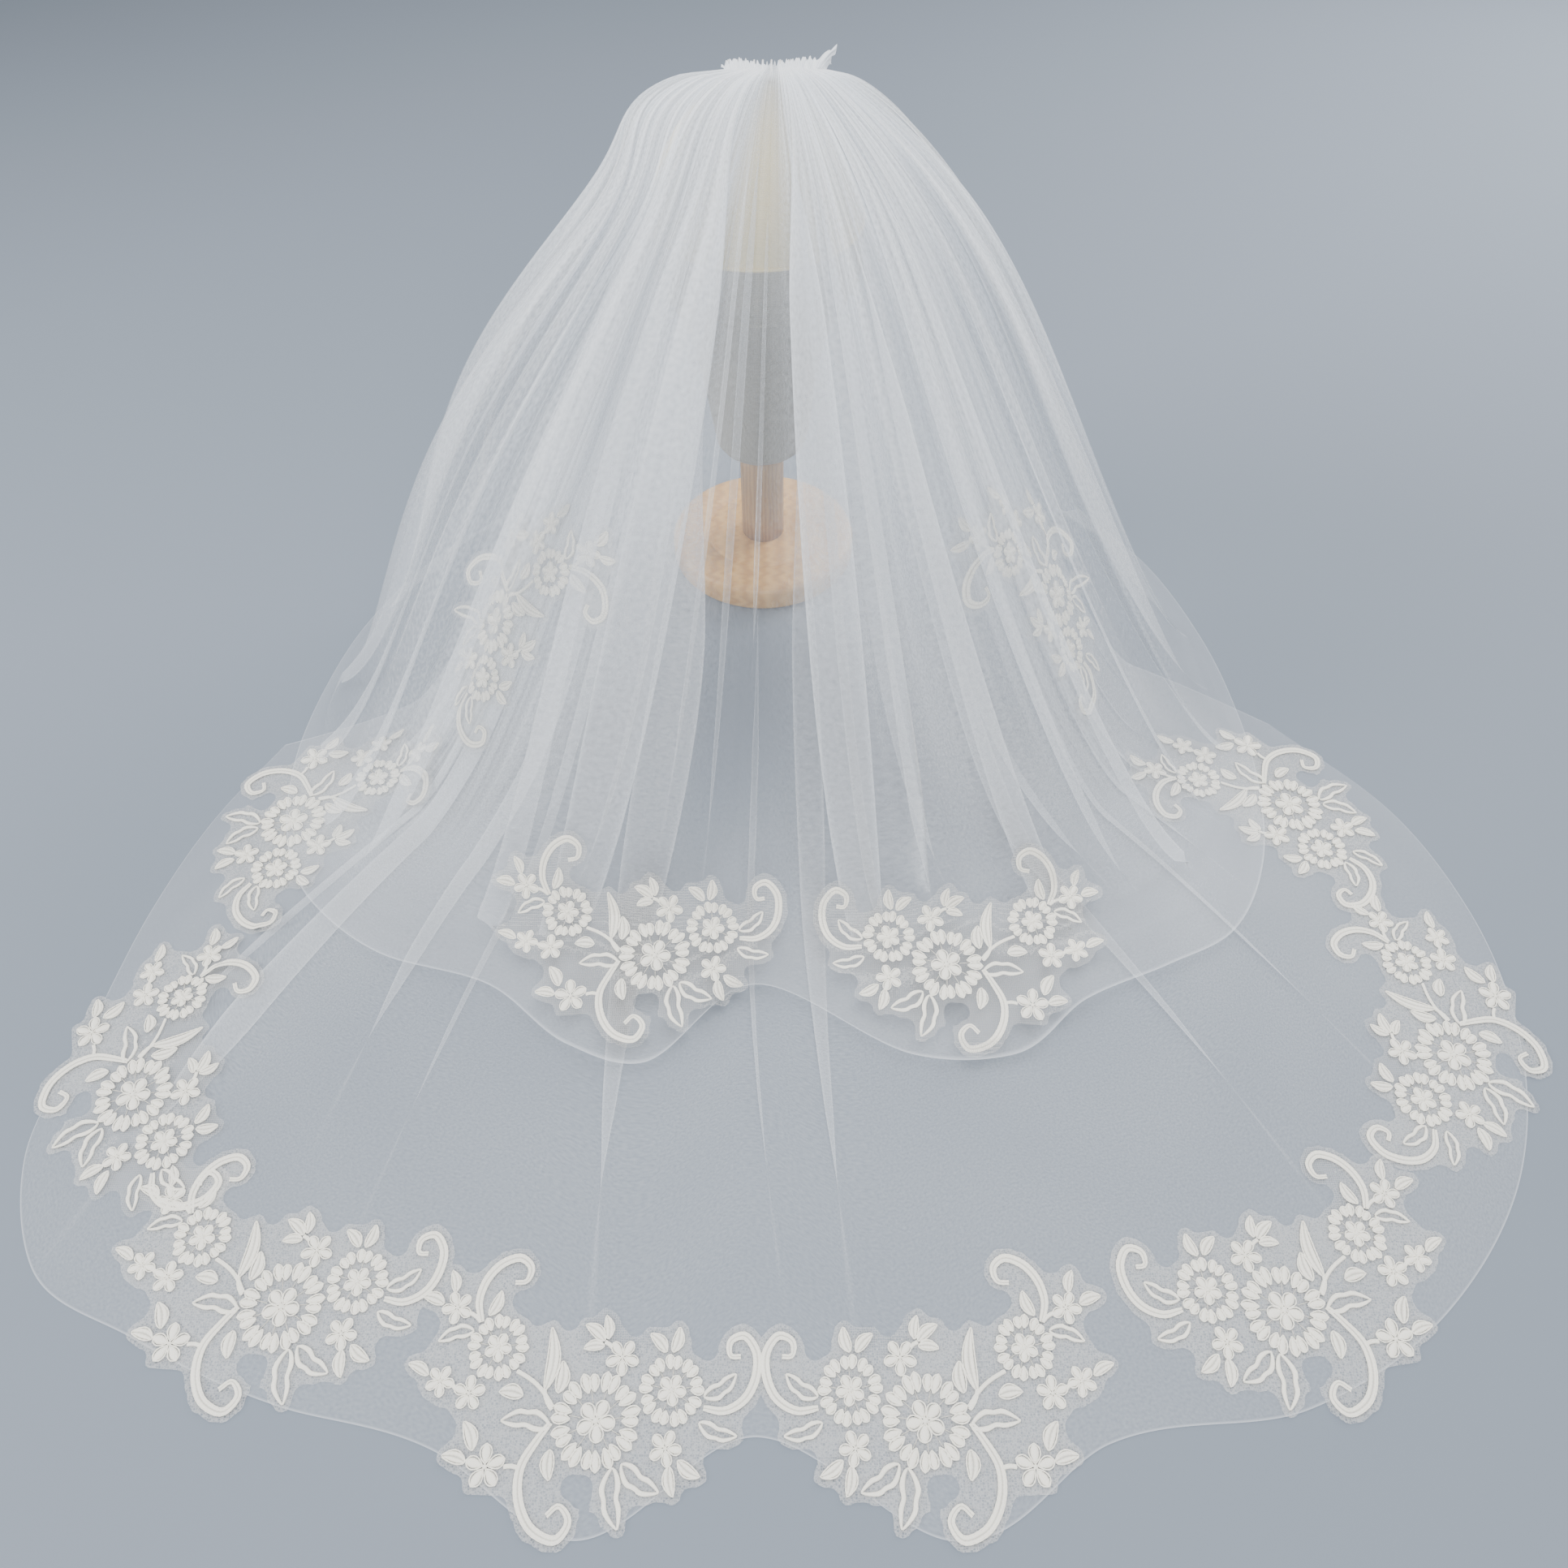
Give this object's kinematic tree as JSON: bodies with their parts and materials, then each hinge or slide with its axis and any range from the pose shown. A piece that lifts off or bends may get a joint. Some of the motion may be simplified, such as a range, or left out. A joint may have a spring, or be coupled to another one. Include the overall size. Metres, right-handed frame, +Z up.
{
  "type": "bridal veil on a head-form stand",
  "caption": "Two-tier tulle bridal veil with corded lace sprays, gathered on a comb and spread from a wooden stand with a plain head form.",
  "frame": {"origin": "centre of the wooden base's underside, on the surface that it stands on", "axes": "+Z up, the veil spreads forward towards -Y, +X to the viewer's right when looking along +Y"},
  "size_m": [1.0898, 0.9562, 0.4443],
  "materials": {
    "tulle": "sheer soft net with a faint sheen",
    "lace": "matt corded embroidery",
    "comb_plastic": "smooth clear-white",
    "base_wood": "satin varnish",
    "post_wood": "satin varnish",
    "grey_linen": "woven linen",
    "cream_cloth": "smooth knitted cover"
  },
  "bodies": {
    "root": {"lower_tier": "tulle", "upper_tier": "tulle", "comb": "comb_plastic", "lace_floor_1": "lace", "lace_floor_2": "lace", "lace_floor_3": "lace", "lace_floor_4": "lace", "lace_floor_5": "lace", "lace_floor_6": "lace", "lace_floor_7": "lace", "lace_floor_8": "lace", "lace_side_left": "lace", "lace_side_right": "lace", "lace_upper_left": "lace", "lace_upper_right": "lace", "stand_base": "base_wood", "stand_post": "post_wood", "head_neck": "grey_linen", "head_crown": "cream_cloth"}
  },
  "joints": []
}
